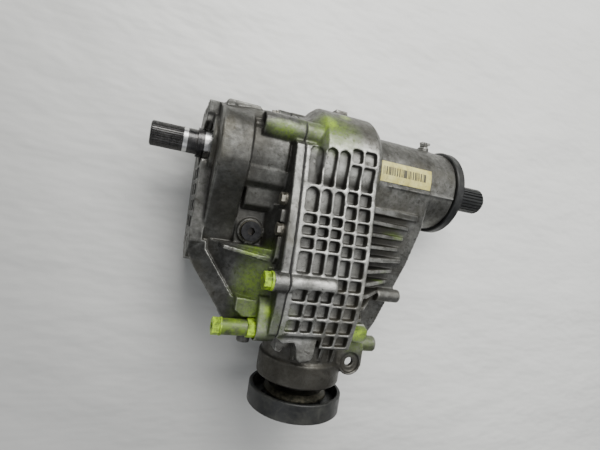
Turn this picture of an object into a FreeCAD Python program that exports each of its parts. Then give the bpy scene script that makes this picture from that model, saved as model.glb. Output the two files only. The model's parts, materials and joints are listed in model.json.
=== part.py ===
import FreeCAD, Part
import math
import os
import Sketcher

# Front-axle differential gear assembly, in millimetres.
# Frame: X runs along the output shafts, the short stub towards -X and the long tube towards +X.
# The pinion axis is the Y axis, with its companion flange towards -Y. Z is up, out of the ribbed face.
# It is drawn round the crossing of the output axis and the pinion axis, and written out with its origin
# in the middle of the flange's bolt circle.

V = FreeCAD.Vector
doc = FreeCAD.newDocument("differential")

# ---------------------------------------------------------------- driving dimensions

DIMENSIONS = {
    # casing and cover along the output axis
    "seam_x": -58, "gasket_thick": 1, "barrel_radius": 56, "dome_radius": 72, "dome_start": -36,
    "dome_end": 38, "tube_radius": 54.5, "tube_end": 161, "ring_bore": 61.5, "case_bore": 49.5,
    "block_right": 34, "block_top_y": 18, "block_low_y": -204, "foot_of_grid": -214, "roof_z": 80,
    "block_bottom": -64, "foot_z": -76,
    # ribbed face
    "cell_depth": 9, "cell_corner": 2.5, "cell_floor_radius": 65.5,
    # web and cooling fins between the ribbed block and the tube
    "web_right": 126, "web_z": 56, "web_slope": 0.24, "web_under": -12, "web_skin": 7,
    "fin_pitch": 14.5, "fin_first_y": -45,
    # pinion housing
    "snout_radius": 53.5, "snout_end": -268,
    # side cover
    "cover_barrel": 54, "collar_left": -150, "collar_right": -115, "long_boss_x": -106, "mate_left": -163,
    "seal_bore": 25.5, "flange_thick": 10, "flange_head_y": 12, "pocket_floor": 24,
    # bearings of the carrier, on the output axis
    "carrier_bore": 20, "carrier_outer": 38, "carrier_width": 19, "left_bearing_x": -84,
    "right_bearing_x": 100,
    # pinion and its bearings
    "head_bore": 17.5, "head_outer": 40, "head_width": 22, "head_y": -85,
    "tail_bore": 15, "tail_outer": 36, "tail_width": 20, "tail_y": -246,
    "flange_radius": 59.75, "flange_rim_y": -282, "flange_face_y": -305.5, "flange_hub": 22,
    "bolt_circle_y": -303.5,
    # output shafts
    "shaft_radius": 15, "stub_tip": -219.6, "stub_spline_end": -185, "stub_spline": 14,
    "right_tip": 248, "right_spline": 18.4, "right_spline_start": 182, "seal_seat": 20,
    "left_teeth": 33, "right_teeth": 25,
    # final drive: crown gear and pinion
    "crown_teeth": 37, "pinion_teeth": 11, "drive_module": 3.1, "drive_face": 18,
    "drive_pressure": 22.5, "drive_backlash": 0.42,
    # differential gears
    "side_teeth": 14, "spider_teeth": 10, "side_module": 3.6, "side_face": 10, "spider_x": 66,
    "side_backlash": 0.36, "cross_pin": 8,
    # fasteners
    "bolt_shank": 4,
}


def make_sheet():
    """The spreadsheet that holds the driving dimensions, one alias each."""
    table = doc.addObject("Spreadsheet::Sheet", "Sheet")
    for row, (name, value) in enumerate(DIMENSIONS.items(), start=1):
        table.set("A%d" % row, name.replace("_", " "))
        table.set("B%d" % row, str(value))
        table.setAlias("B%d" % row, name)
    doc.recompute()
    return table


sheet = make_sheet()


class Size:
    """A length that remembers the sheet formula that it came from."""

    def __init__(self, value, formula):
        self.value = float(value)
        self.formula = formula

    def joined(self, sign, other, value):
        return Size(value, "(%s %s %s)" % (self.formula, sign, other.formula))

    def __add__(self, other):
        other = size(other)
        return self.joined("+", other, self.value + other.value)

    def __sub__(self, other):
        other = size(other)
        return self.joined("-", other, self.value - other.value)

    def __mul__(self, other):
        other = size(other)
        return self.joined("*", other, self.value * other.value)

    def __truediv__(self, other):
        other = size(other)
        return self.joined("/", other, self.value / other.value)

    def __neg__(self):
        return Size(-self.value, "(0 - %s)" % self.formula)

    def __radd__(self, other):
        return size(other) + self

    def __rsub__(self, other):
        return size(other) - self

    def __rmul__(self, other):
        return size(other) * self

    def __float__(self):
        return self.value


def size(thing):
    """A number or a Size, as a Size."""
    if isinstance(thing, Size):
        return thing
    return Size(thing, "(%r)" % float(thing))


class Sheet:
    """The driving dimensions by name, as Sizes bound to their cells."""

    def __getattr__(self, name):
        return Size(getattr(sheet, name), "Sheet.%s" % name)


S = Sheet()


def bind(target, path, value):
    """Tie a property to its sheet formula."""
    target.setExpression(path, size(value).formula)


# ---------------------------------------------------------------- sketch and feature helpers

subparts = {}


def keep(thing, name):
    """Name a finished sub-part, which gives its file its name."""
    thing.Label = name
    subparts[name] = thing
    return thing


def new_body(name):
    return doc.addObject("PartDesign::Body", name + "_body")


def body_in(home):
    """The body itself, or a new body in a pile of pieces that are joined later."""
    if not isinstance(home, list):
        return home
    body = new_body("piece")
    home.append(body)
    return body


def origin_plane(body, role):
    return [item for item in body.Origin.OriginFeatures if item.Role == role][0]


def sketch_on(body, role, offset=0.0):
    """An empty sketch on one of the body's origin planes, moved along the plane's normal."""
    sketch = body.newObject("Sketcher::SketchObject", "Sketch")
    sketch.AttachmentSupport = [(origin_plane(body, role), "")]
    sketch.MapMode = "FlatFace"
    bind(sketch, "AttachmentOffset.Base.z", offset)
    return sketch


def place_point(sketch, edge, end, point):
    """Hold one end of an edge at a point that follows the sheet."""
    for kind, value in (("DistanceX", point[0]), ("DistanceY", point[1])):
        number = sketch.addConstraint(Sketcher.Constraint(kind, -1, 1, edge, end, float(value)))
        if isinstance(value, Size):
            bind(sketch, "Constraints[%d]" % number, value)


def draw_polygon(sketch, points):
    """A closed outline of straight lines."""
    first = sketch.GeometryCount
    ends = [V(float(x), float(y), 0) for x, y in points]
    count = len(ends)
    for i in range(count):
        sketch.addGeometry(Part.LineSegment(ends[i], ends[(i + 1) % count]))
    for i in range(count):
        sketch.addConstraint(Sketcher.Constraint("Coincident", first + i, 2, first + (i + 1) % count, 1))
    for i, point in enumerate(points):
        place_point(sketch, first + i, 1, point)


def draw_circle(sketch, x, y, radius):
    number = sketch.GeometryCount
    sketch.addGeometry(Part.Circle(V(float(x), float(y), 0), V(0, 0, 1), float(radius)))
    place_point(sketch, number, 3, (x, y))
    hold = sketch.addConstraint(Sketcher.Constraint("Radius", number, float(radius)))
    if isinstance(radius, Size):
        bind(sketch, "Constraints[%d]" % hold, radius)


def draw(sketch, shape):
    """A shape is a list of corner points, or (x, y, radius) for a circle."""
    if isinstance(shape, tuple):
        draw_circle(sketch, *shape)
    else:
        draw_polygon(sketch, shape)


def spin(home, points, axis="X", kind="PartDesign::Revolution"):
    """Turn a closed profile about X, as (x, radius), or about Y, as (radius, y)."""
    body = body_in(home)
    sketch = sketch_on(body, "XY_Plane")
    draw(sketch, points)
    feature = body.newObject(kind, "Turned")
    feature.Profile = sketch
    feature.ReferenceAxis = (sketch, ["H_Axis" if axis == "X" else "V_Axis"])
    feature.Angle = 360
    feature.Refine = False
    return feature


def pad(home, role, shapes, start, length):
    """Fill outlines from start, along the plane's normal, for a length."""
    body = body_in(home)
    sketch = sketch_on(body, role, start)
    for shape in shapes:
        draw(sketch, shape)
    feature = body.newObject("PartDesign::Pad", "Pad")
    feature.Profile = sketch
    feature.Refine = False
    bind(feature, "Length", length)
    return feature


def cut(body, role, shapes, start, length):
    """Remove outlines from start, along the plane's normal, for a length."""
    sketch = sketch_on(body, role, start + length)
    for shape in shapes:
        draw(sketch, shape)
    feature = body.newObject("PartDesign::Pocket", "Pocket")
    feature.Profile = sketch
    feature.Refine = False
    bind(feature, "Length", length)
    return feature


def repeat_round(body, feature, axis_role, count):
    """Repeat a feature about one of the body's origin axes."""
    pattern = body.newObject("PartDesign::PolarPattern", "Around")
    pattern.Originals = [feature]
    axis = [item for item in body.Origin.OriginFeatures if item.Role == axis_role][0]
    pattern.Axis = (axis, [""])
    pattern.Angle = 360
    pattern.Occurrences = int(float(count))
    if isinstance(count, Size):
        bind(pattern, "Occurrences", count)
    body.Tip = pattern
    doc.recompute()
    return pattern


def ring(name, x0, x1, inner, outer, axis="X"):
    """A plain turned ring between two planes and two radii."""
    body = new_body(name)
    profile = [(x0, inner), (x1, inner), (x1, outer), (x0, outer)]
    if axis == "Y":
        profile = [(radius, along) for along, radius in profile]
    spin(body, profile, axis)
    return keep(body, name)


def shape_feature(name, shape):
    """A sub-part whose shape is worked out by formula from the sheet."""
    feature = doc.addObject("Part::Feature", name + "_shape")
    feature.Shape = shape
    return feature


def fused(name, pieces):
    """All the pieces of a pile in one solid."""
    if len(pieces) == 1:
        return pieces[0]
    feature = doc.addObject("Part::MultiFuse", name + "_fused")
    feature.Shapes = pieces
    feature.Refine = False
    return feature


def cut_out(name, base, tool):
    feature = doc.addObject("Part::Cut", name + "_cut")
    feature.Base = base
    feature.Tool = tool
    feature.Refine = False
    return feature


# ---------------------------------------------------------------- casing

# Centres of the cover screws, as (y, z): three on bosses outside the barrel, the others in the block's land.
BARREL_SCREWS = [(31, 50), (57, -18), (24, -55)]
BLOCK_SCREWS = [(-42, -57), (-92, -54), (-150, -54), (-193, -30), (-196, 12), (-50, 58), (-84, 60)]
SCREWS = BARREL_SCREWS + BLOCK_SCREWS
DOWELS = [(-64, 60), (-120, -54)]
# Axis of the long smooth boss round the first of them, as (y, z).
LONG_BOSS = (28, 46)
LONG_BOLT_Y = -139
BRACKET_BOLT = (-197, 52)
# Centre of the filler plug, as (x, y)
FILLER = (-97, -92)
DRAIN = (-8, -178)
# Centre of the breather on the tube, as (x, z)
BREATHER = (128, 16)

# How far the crowned ribbed face lies below its highest line, as (y, drop) from the output axis down.
FACE_DROP = [(22, 15.5), (-25, 8), (-66, 3), (-105, 0), (-150, 0), (-180, 5), (-215, 15)]

# The ribbed face: rows of cells from the output axis side down, as (first y, last y).
ARCHED_ROWS = [(14.5, -29), (-32.5, -59.5)]
INNER_ROWS = [(-62.5, -72.5), (-75.5, -85.5), (-88.5, -100.5), (-103.5, -127), (-143.5, -158), (-161, -176),
              (-179.5, -194)]
OUTER_ROWS = [(19, 3.5), (0.5, -27.5), (-30.5, -44.5), (-47.5, -61.5), (-64, -75), (-78, -89.5),
              (-92.5, -105), (-108, -127), (-130, -143), (-146, -159.5), (-162.5, -176.5), (-179.5, -194),
              (-197, -210)]
INNER_COLUMNS = [(-52, -37), (-34, -21.5), (-18.5, -5.5)]
OUTER_COLUMNS = [(-2.5, 10.5), (13.5, 28.5)]

# Passage for oil above the pinion, as (y, z) corners.
OIL_PASSAGE = [(-97, 56), (-97, 64), (-155, 66), (-155, 56)]


def roof_z(y):
    """Height of the crowned ribbed face at a distance along the pinion axis."""
    y = float(y)
    for (high, drop), (low, next_drop) in zip(FACE_DROP, FACE_DROP[1:]):
        if y >= low:
            return S.roof_z - (drop + (next_drop - drop) * (high - y) / (high - low))
    return S.roof_z - FACE_DROP[-1][1]


def roof_line(high, low, sink=0.0):
    """The face's outline between two distances, as (y, z) corners that may lie below it."""
    between = [y for y, drop in FACE_DROP if float(low) < y < float(high)]
    return [(y, roof_z(y) - sink) for y in [high] + between + [low]]


def web_z(y):
    """Height of the web that joins the tube to the pinion housing."""
    return S.web_z + S.web_slope * y


def is_upright(edge):
    return abs(edge.tangentAt(0).z) > 0.99


def rounded_block(x0, x1, y0, y1, z0, z1, radius, head_radius):
    """An upright block with rounded corners in plan, the two at its head with their own radius."""
    block = Part.makeBox(x1 - x0, y1 - y0, z1 - z0, V(x0, y0, z0))
    foot = [edge for edge in block.Edges if is_upright(edge) and edge.CenterOfMass.y < y0 + 0.01]
    rounded = block.makeFillet(radius, foot)
    head = [edge for edge in rounded.Edges if is_upright(edge) and edge.CenterOfMass.y > y1 - 0.01]
    return rounded.makeFillet(head_radius, head)


def grid_cells():
    """The cells between the ribs, sunk into the crowned face but never into the gear space."""
    cells = []
    corner = float(S.cell_corner)
    grids = ((INNER_COLUMNS, ARCHED_ROWS, True), (INNER_COLUMNS, INNER_ROWS, False),
             (OUTER_COLUMNS, OUTER_ROWS, False))
    for columns, rows, arched in grids:
        for x0, x1 in columns:
            for high, low in rows:
                head = (x1 - x0) / 2 - 0.3 if arched else corner
                floor = float(roof_z((high + low) / 2) - S.cell_depth)
                cells.append(rounded_block(x0, x1, low, high, floor, float(S.roof_z) + 20, corner, head))
    wide = float(S.cell_floor_radius)
    narrow = wide - 10
    start = float(S.dome_start)
    keep_out = [Part.makeCylinder(narrow, 50, V(start - 63, 0, 0), V(1, 0, 0)),
                Part.makeCone(narrow, wide, 13, V(start - 13, 0, 0), V(1, 0, 0)),
                Part.makeCylinder(wide, 150, V(start, 0, 0), V(1, 0, 0))]
    return Part.makeCompound(cells).cut(keep_out)


def add_boss(home, role, x, y, radius, start, length):
    return pad(home, role, [(x, y, radius)], start, length)


def casing_outside(pieces):
    spin(pieces, [(S.seam_x, 0), (S.seam_x, S.barrel_radius), (S.dome_start - 10, S.barrel_radius + 1),
                  (S.dome_start - 3, S.dome_radius - 5), (S.dome_start + 3, S.dome_radius),
                  (S.dome_end - 6, S.dome_radius), (S.dome_end, S.dome_radius - 4),
                  (S.dome_end + 3, S.tube_radius + 8), (S.dome_end + 7, S.tube_radius),
                  (125, S.tube_radius), (S.tube_end, S.tube_radius - 1), (S.tube_end, 0)])
    top_y = S.block_top_y
    low_y = S.block_low_y
    outline = [(top_y, roof_z(top_y) - 9)] + roof_line(top_y - 6, low_y + 6)
    outline += [(low_y, roof_z(low_y) - 6), (low_y, S.block_bottom + 14), (low_y + 14, S.block_bottom),
                (top_y, S.block_bottom)]
    pad(pieces, "YZ_Plane", [outline], S.seam_x, S.block_right - S.seam_x)
    # the outer columns run on over the root of the snout
    foot = S.foot_of_grid
    pad(pieces, "YZ_Plane", [roof_line(low_y + 10, foot + 2) + [(foot, roof_z(foot) - 3), (foot, 40),
                                                               (low_y + 10, 40)]], -5, S.block_right + 5)
    # web between the tube and the pinion housing, with its slanted outer edge
    web_low = -228
    web = body_in(pieces)
    pad(web, "YZ_Plane", [[(-13, web_z(-13)), (web_low, web_z(web_low)), (web_low, S.web_under),
                           (-13, S.web_under)]],
        S.block_right - 1, S.web_right - S.block_right + 1)
    edge = S.web_right
    cut(web, "XY_Plane", [[(edge + 5, 5), (edge - 4, 5), (edge, -55), (edge - 7, -107), (edge - 16, -142),
                           (edge - 28, -192), (edge - 40, -220), (edge - 56, web_low - 1),
                           (edge + 5, web_low - 1)]], S.web_under - 1, 80)
    # housing of the pinion's bearings, and the snout
    head = S.head_outer + 6
    root = S.block_low_y + 30
    step = S.snout_end + 28
    spin(pieces, [(0, -60), (head, -60), (head, root), (S.snout_radius - 3, root),
                  (S.snout_radius - 3, step + 3), (S.snout_radius, step), (S.snout_radius, S.snout_end + 2),
                  (S.snout_radius - 2, S.snout_end), (0, S.snout_end)], "Y")


# Cooling fins over the web, each with how far it reaches along +X and its thickness.
FINS = [(112, 7.5), (103, 4.5), (100, 4.5), (98, 4.5), (106, 5.5), (98, 4.5), (95, 4.5), (86, 4.5),
        (77, 4.5), (68, 4.5)]


def casing_fins(pieces):
    """Tapered fins from the ribbed block out over the web."""
    for i, (reach, thick) in enumerate(FINS):
        y = S.fin_first_y - S.fin_pitch * i
        pad(pieces, "XZ_Plane", [[(S.block_right - 1, roof_z(y) - 2), (S.block_right + 6, roof_z(y) - 4),
                                  (reach, web_z(y) + 4), (reach + 4, web_z(y) - 2),
                                  (S.block_right - 1, web_z(y) - 2)]],
            -(y + thick / 2), thick)


def casing_underside(pieces):
    """Ribs and two flat feet below the pinion housing and the gear space."""
    for i in range(6):
        x = -46 + 15 * i
        pad(pieces, "YZ_Plane", [[(10, S.block_bottom + 2), (4, S.foot_z + 4), (-186, S.foot_z + 6),
                                  (-196, S.block_bottom + 12), (-190, S.block_bottom + 2)]],
            x, 4.5)
    for y in (-10, -178):
        pad(pieces, "XY_Plane", [[(-48, y - 11), (32, y - 11), (32, y + 11), (-48, y + 11)]],
            S.foot_z, S.block_bottom - S.foot_z + 4)


def casing_lugs(pieces):
    # long boss of the bracket bolt, lying in the ribbed face, with a domed end
    boss_z = S.roof_z - 4
    add_boss(pieces, "YZ_Plane", LONG_BOLT_Y, boss_z, 11, S.seam_x, 50)
    pieces.append(shape_feature("boss_end", Part.makeSphere(11, V(-8, LONG_BOLT_Y, float(boss_z)))))
    # lug below the ribbed face, with stubs beside and below it
    pad(pieces, "XY_Plane", [[(-57, -196), (-57, -203), (-49, -209), (-35, -208), (-32, -214), (-30, -226),
                              (-26, -230), (-13, -228), (-10, -223), (-8, -198)]], 42, 22)
    pad(pieces, "XY_Plane", [[(-52, -200), (-52, -222), (-46, -224), (-42, -218), (-36, -219), (-34, -200)]],
        30, 20)
    # lump in the corner between the grid, the web and the ear
    pad(pieces, "XY_Plane", [[(30, -186), (60, -186), (67, -194), (67, -206), (58, -210), (30, -206)]],
        -5, 52)
    # thin rounded ear beside the snout
    pad(pieces, "XY_Plane", [[(20, -200), (58, -200), (70, -216), (70, -238), (38, -238), (20, -226)]],
        28, 10)
    add_boss(pieces, "XY_Plane", 54, -238, 16, 28, 10)
    # tapped knobs on the edge of the web
    add_boss(pieces, "YZ_Plane", -222, 6, 10.5, 68, 34)
    add_boss(pieces, "YZ_Plane", -151, 22, 9, 84, 34)
    # bosses of the cover screws that stand outside the barrel
    for y, z in BARREL_SCREWS[1:]:
        add_boss(pieces, "YZ_Plane", y, z, 9.5, S.seam_x, 20)
    add_boss(pieces, "YZ_Plane", *LONG_BOSS, 14.5, S.seam_x, 24)
    # lifting lug on the gear space and the vent boss on the tube
    pad(pieces, "XZ_Plane", [[(-8, -4), (8, -4), (8, 14), (-8, 14)]], -(S.dome_radius + 4), 12)
    x, z = BREATHER
    add_boss(pieces, "XZ_Plane", x, z, 7, -(S.tube_radius + 1), 14)
    # raised moulding line along the tube
    pad(pieces, "XY_Plane", [[(60, -12.5), (S.tube_end - 1, -12.5), (S.tube_end - 1, -10), (60, -10)]], 40, 14)
    # gussets at the root of the snout
    for x in (-30, -14, 2, 18):
        pad(pieces, "YZ_Plane", [[(-203, 40), (-203, 62), (-232, 52), (-236, 40)]], x, 4)


def casing_inside(cutters):
    """Gear space, bearing seats, seal seats and the tube's bore, all turned."""
    cx = S.right_bearing_x
    spin(cutters, [(S.seam_x - 1, 0), (S.seam_x - 1, 51), (S.dome_start - 12, 51), (S.dome_start, S.ring_bore),
                   (S.dome_end, S.ring_bore), (S.dome_end + 6, S.case_bore), (cx - 0.2, S.case_bore),
                   (cx - 0.2, S.carrier_outer), (cx + S.carrier_width, S.carrier_outer),
                   (cx + S.carrier_width, 33), (124, 33), (124, 46), (130, 46), (130, 35), (137, 35),
                   (137, 40), (151, 40), (151, 42.1), (153, 42.1), (153, 40), (S.tube_end + 1, 40),
                   (S.tube_end + 1, 0)])
    hy = S.head_y
    ty = S.tail_y
    spin(cutters, [(0, -30), (37, -30), (37, hy + S.head_width), (S.head_outer, hy + S.head_width),
                   (S.head_outer, hy), (33, hy), (33, ty + S.tail_width), (S.tail_outer, ty + S.tail_width),
                   (S.tail_outer, ty), (33, ty), (33, ty - 4), (S.tail_outer + 1, ty - 6),
                   (S.tail_outer + 1, S.snout_end - 1), (0, S.snout_end - 1)], "Y")
    # oil passage above the pinion, open to the cover, and the lightening pocket under the web
    pad(cutters, "YZ_Plane", [OIL_PASSAGE], S.seam_x - 1, 80)
    pad(cutters, "YZ_Plane", [[(-62, S.web_under - 1), (-62, web_z(-62) - S.web_skin),
                               (-132, web_z(-132) - S.web_skin), (-132, S.web_under - 1)]], 58, 50)


def casing_holes(cutters):
    """Threaded holes of the cover screws and of the parts that screw into the casing."""
    depth = 22
    pad(cutters, "YZ_Plane", [(y, z, S.bolt_shank) for y, z in SCREWS], S.seam_x - 0.5, depth + 0.5)
    pad(cutters, "YZ_Plane", [(LONG_BOLT_Y, S.roof_z - 4, 5)], S.seam_x - 0.5, 52.5)
    pad(cutters, "YZ_Plane", [(*BRACKET_BOLT, 5)], S.seam_x - 0.5, 18.5)
    pad(cutters, "XY_Plane", [(54, -238, 5.5)], 27, 12)
    pad(cutters, "XY_Plane", [(54, -238, 13)], 34.5, 4)
    pad(cutters, "YZ_Plane", [(-222, 6, 5)], 80, 23)
    pad(cutters, "YZ_Plane", [(-151, 22, 5)], 98, 21)
    pad(cutters, "XZ_Plane", [(*BREATHER, 4)], -(S.tube_radius + 2), 25)
    pad(cutters, "XY_Plane", [(*DRAIN, 7)], S.foot_z - 1, 22)
    pad(cutters, "YZ_Plane", [(y, z, 3) for y, z in DOWELS], S.seam_x - 0.5, 12.5)


def make_casing():
    """The main casting: everything outside in one solid, less everything inside."""
    pieces = []
    cutters = []
    casing_outside(pieces)
    casing_fins(pieces)
    casing_underside(pieces)
    casing_lugs(pieces)
    casing_inside(cutters)
    casing_holes(cutters)
    cutters.append(shape_feature("grid_cells", grid_cells()))
    solid = fused("casing", pieces)
    hollow = fused("casing_hollow", cutters)
    return keep(cut_out("casing", solid, hollow), "main_casing")


# ---------------------------------------------------------------- side cover and gasket

# The mounting collar's smooth outline round the output axis, as (y, z).
COLLAR = [(43, -22), (45, 0), (44, 22), (37, 42), (20, 56), (0, 61), (-20, 60), (-40, 50), (-58, 38), (-76, 28),
          (-92, 20), (-108, 14), (-115, 2), (-114, -18), (-100, -38), (-74, -54), (-40, -64), (0, -64),
          (28, -50)]

# Holes of the mating plate, as (y, z).
MATE_HOLES = [(38, -10), (38, -40), (-112, -10), (-112, -40)]
# Centre of that plate's ear, as (y, z).
EAR_HOLE = (38, 6)


def flange_outline():
    """The joint face between cover and casing on the pinion side, as (y, z) corners."""
    low = S.block_low_y
    head = S.flange_head_y
    outline = [(head + 6, roof_z(head) - 9)] + roof_line(head, low + 6, 1.0)
    return outline + [(low, roof_z(low) - 7), (low, S.block_bottom + 14), (low + 14, S.block_bottom),
                      (0, S.block_bottom), (0, 40), (head + 6, 40)]


def smooth_prism(points, x0, length, edge):
    """A prism along X with a smooth outline through (y, z) points and rounded rims."""
    curve = Part.BSplineCurve()
    curve.interpolate([V(float(x0), y, z) for y, z in points], PeriodicFlag=True)
    solid = Part.Face(Part.Wire(curve.toShape())).extrude(V(float(length), 0, 0))
    rims = [rim for rim in solid.Edges if rim.BoundBox.XLength < 0.01]
    return solid.makeFillet(edge, rims)


def cover_outside(pieces):
    joint = S.seam_x - S.gasket_thick
    left = S.collar_left
    spin(pieces, [(left, 0), (left, S.cover_barrel - 4), (S.collar_right, S.cover_barrel),
                  (joint - S.flange_thick - 4, S.cover_barrel), (joint - S.flange_thick, S.cover_barrel - 6),
                  (joint - 4, S.cover_barrel - 6), (joint - 4, S.barrel_radius), (joint, S.barrel_radius),
                  (joint, 0)])
    pad(pieces, "YZ_Plane", [flange_outline()], joint - S.flange_thick, S.flange_thick)
    for y, z in BARREL_SCREWS[1:]:
        add_boss(pieces, "YZ_Plane", y, z, 9, joint - 16, 16)
    # the upper screw lies deep in a long smooth boss
    add_boss(pieces, "YZ_Plane", *LONG_BOSS, 15, S.long_boss_x, joint - S.long_boss_x)
    # mounting collar with a thin lug at its head, over a slot
    pieces.append(shape_feature("collar", smooth_prism(COLLAR, left, S.collar_right - left, 2.5)))
    pad(pieces, "XY_Plane", [[(left + 5, 48), (-104, 48), (-104, 50), (-107, 52.5), (left + 8, 52.5),
                              (left + 5, 50)]], 0, 25)
    for x in (left + 5, -114):
        pad(pieces, "XY_Plane", [[(x, 36), (x + 8, 36), (x + 8, 49), (x, 49)]], 0, 25)
    # bottom of the cover: a slope that falls away from the joint towards the collar
    slope = body_in(pieces)
    pad(slope, "XZ_Plane", [[(joint - 2, -42), (joint - 2, 60), (-84, 52), (-128, 22), (-158, 4), (-158, -30),
                             (-120, -42)]], 108, 96)
    cut(slope, "XY_Plane", [[(-170, -100), (-170, -210), (-105, -210), (-105, -200), (-156, -130),
                             (-156, -100)]], -60, 130)
    # slanted rim that stands proud along the slope's free edge
    rim = body_in(pieces)
    pad(rim, "XZ_Plane", [[(-80, -34), (-80, 60), (-84, 59), (-128, 29), (-165, 11), (-165, -34)]], 110, 92)
    cut(rim, "XY_Plane", [[(-170, -105), (-170, -205), (-110, -205), (-110, -199), (-153, -141),
                           (-164, -121), (-164, -105)],
                          [(-144, -105), (-142, -120), (-103, -174), (-88, -186), (-75, -186), (-75, -105)]],
        -60, 130)
    # ledge under the filler plug, and the wall that carries the plug
    pad(pieces, "XY_Plane", [[(-129, -109), (joint, -120), (joint, -125), (-129, -113.5)]], 10, 45)
    pad(pieces, "YZ_Plane", [[(-62, 40), (-62, 64), (-116, 64), (-122, 58), (-122, 40)]], joint - 15, 6)
    pad(pieces, "XY_Plane", [[(-114, -40), (joint - 2, -40), (joint - 2, -122), (-114, -116)]], -40,
        S.pocket_floor + 40)
    add_boss(pieces, "XY_Plane", *FILLER, 15, 0, S.pocket_floor + 4)
    # sloping wall between the plug and the joint
    pad(pieces, "XZ_Plane", [[(-84, 18), (-79, 32), (joint - 9, 62), (joint - 1, 62), (joint - 1, 18)]], 58, 60)
    # two steps below the barrel
    pad(pieces, "YZ_Plane", [[(-20, 20), (-20, 51), (-36, 47), (-43, 38), (-43, 20)]], -113, joint + 109)
    pad(pieces, "YZ_Plane", [[(-40, 20), (-40, 40), (-62, 37), (-67, 30), (-67, 20)]], -111, joint + 108)


def cover_mounting_face(pieces):
    """The lower mating plate, the ribbed ear at its head and the seal's boss."""
    mate = S.mate_left
    left = S.collar_left
    pad(pieces, "YZ_Plane", [[(30, 12), (-24, 20), (-112, 20), (-132, 8), (-138, -20), (-120, -44), (-60, -66),
                              (-10, -70), (30, -60), (46, -44), (47, -6), (42, 12)]], mate, left - mate + 2)
    add_boss(pieces, "YZ_Plane", 0, 0, 36, left - 5, 8)
    for z in (-2, 10):
        pad(pieces, "YZ_Plane", [[(34, z), (49, z), (49, z + 4), (34, z + 4)]], mate, 19)
    add_boss(pieces, "YZ_Plane", *EAR_HOLE, 8, mate, 15)


def cover_bolt_bosses(pieces):
    joint = S.seam_x - S.gasket_thick
    y, z = BRACKET_BOLT
    # long bracket bolt: its boss runs on into the ribbed face
    add_boss(pieces, "YZ_Plane", LONG_BOLT_Y, S.roof_z - 4, 11, joint - 17, 17)
    pad(pieces, "YZ_Plane", [[(-129, 50), (-129, 74), (-149, 74), (-149, 50)]], joint - 17, 17)
    # smooth mass round the lower bracket bolt, and the arm that joins it to the slope
    add_boss(pieces, "YZ_Plane", y, z, 13.5, joint - 23, 23)
    pad(pieces, "YZ_Plane", [[(-160, 20), (-160, 58), (-176, 64), (-197, 65.5), (-208, 58), (-208, 10)]],
        joint - 23, 23)
    pad(pieces, "XY_Plane", [[(-106, -164), (-80, -166), (-80, -186), (-96, -186), (-106, -178)]], 10, 44)
    # stub that hangs below the sleeve
    add_boss(pieces, "XZ_Plane", -87, 33, 7.5, 196, 22)


def cover_inside(cutters):
    joint = S.seam_x - S.gasket_thick
    left = S.left_bearing_x
    right = left + S.carrier_width
    spin(cutters, [(S.mate_left - 1, 0), (S.mate_left - 1, 27), (-156, 27), (-156, S.seal_bore),
                   (-140, S.seal_bore), (-140, 22), (-134, 22), (-134, 40), (left - 5, 40), (left - 5, 33),
                   (left, 33), (left, S.carrier_outer), (right, S.carrier_outer), (joint - 3, 42),
                   (joint - 3, 51), (joint + 1, 51), (joint + 1, 0)])
    # ladder pockets in the mating plate
    for i in range(4):
        y = -28 - 19 * i
        pad(cutters, "YZ_Plane", [[(y, 12), (y - 13, 12), (y - 13, -12), (y, -12)]], S.mate_left - 1, 9)
        pad(cutters, "YZ_Plane", [[(y, -18), (y - 13, -18), (y - 13, -40), (y, -40)]], S.mate_left - 1, 9)
    # lightening pocket behind the plug wall and the slope, open to the joint
    pad(cutters, "YZ_Plane", [[(-58, -34), (-58, 14), (-104, 14), (-104, -34)]], -96, 96 + joint + 1)
    pad(cutters, "YZ_Plane", [[(-124, -34), (-124, 36), (-176, 36), (-190, 20), (-190, -34)]], -92,
        92 + joint + 1)


def cover_holes(cutters):
    joint = S.seam_x - S.gasket_thick
    clear = S.bolt_shank + 0.4
    pad(cutters, "YZ_Plane", [(y, z, clear) for y, z in SCREWS], joint - 40, 41)
    # flat seats for the screw heads
    y, z = BARREL_SCREWS[0]
    add_boss(cutters, "YZ_Plane", y, z, 8, S.long_boss_x - 8, joint - 16 - S.long_boss_x + 8)
    for y, z in BARREL_SCREWS[1:]:
        add_boss(cutters, "YZ_Plane", y, z, 9.5, joint - 46, 30)
    for y, z in BLOCK_SCREWS:
        add_boss(cutters, "YZ_Plane", y, z, 9, joint - 46, 36)
    pad(cutters, "YZ_Plane", [(LONG_BOLT_Y, S.roof_z - 4, 5.4)], joint - 40, 42)
    pad(cutters, "YZ_Plane", [(*BRACKET_BOLT, 5)], joint - 60, 62)
    add_boss(cutters, "YZ_Plane", *BRACKET_BOLT, 12, joint - 75, 55)
    pad(cutters, "YZ_Plane", [(y, z, 3) for y, z in DOWELS], joint - 8, 9)
    pad(cutters, "YZ_Plane", [(y, z, 5.5) for y, z in MATE_HOLES], S.mate_left - 1, 26)
    add_boss(cutters, "YZ_Plane", *EAR_HOLE, 4.5, S.mate_left - 4, 30)
    add_boss(cutters, "XY_Plane", *FILLER, 9, -10, 60)


def make_cover():
    """The left-hand casting, with the mounting collar, the plug wall and the left bearing seat."""
    pieces = []
    cutters = []
    cover_outside(pieces)
    cover_mounting_face(pieces)
    cover_bolt_bosses(pieces)
    cover_inside(cutters)
    cover_holes(cutters)
    solid = fused("cover", pieces)
    hollow = fused("cover_hollow", cutters)
    return keep(cut_out("cover", solid, hollow), "side_cover")


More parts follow.
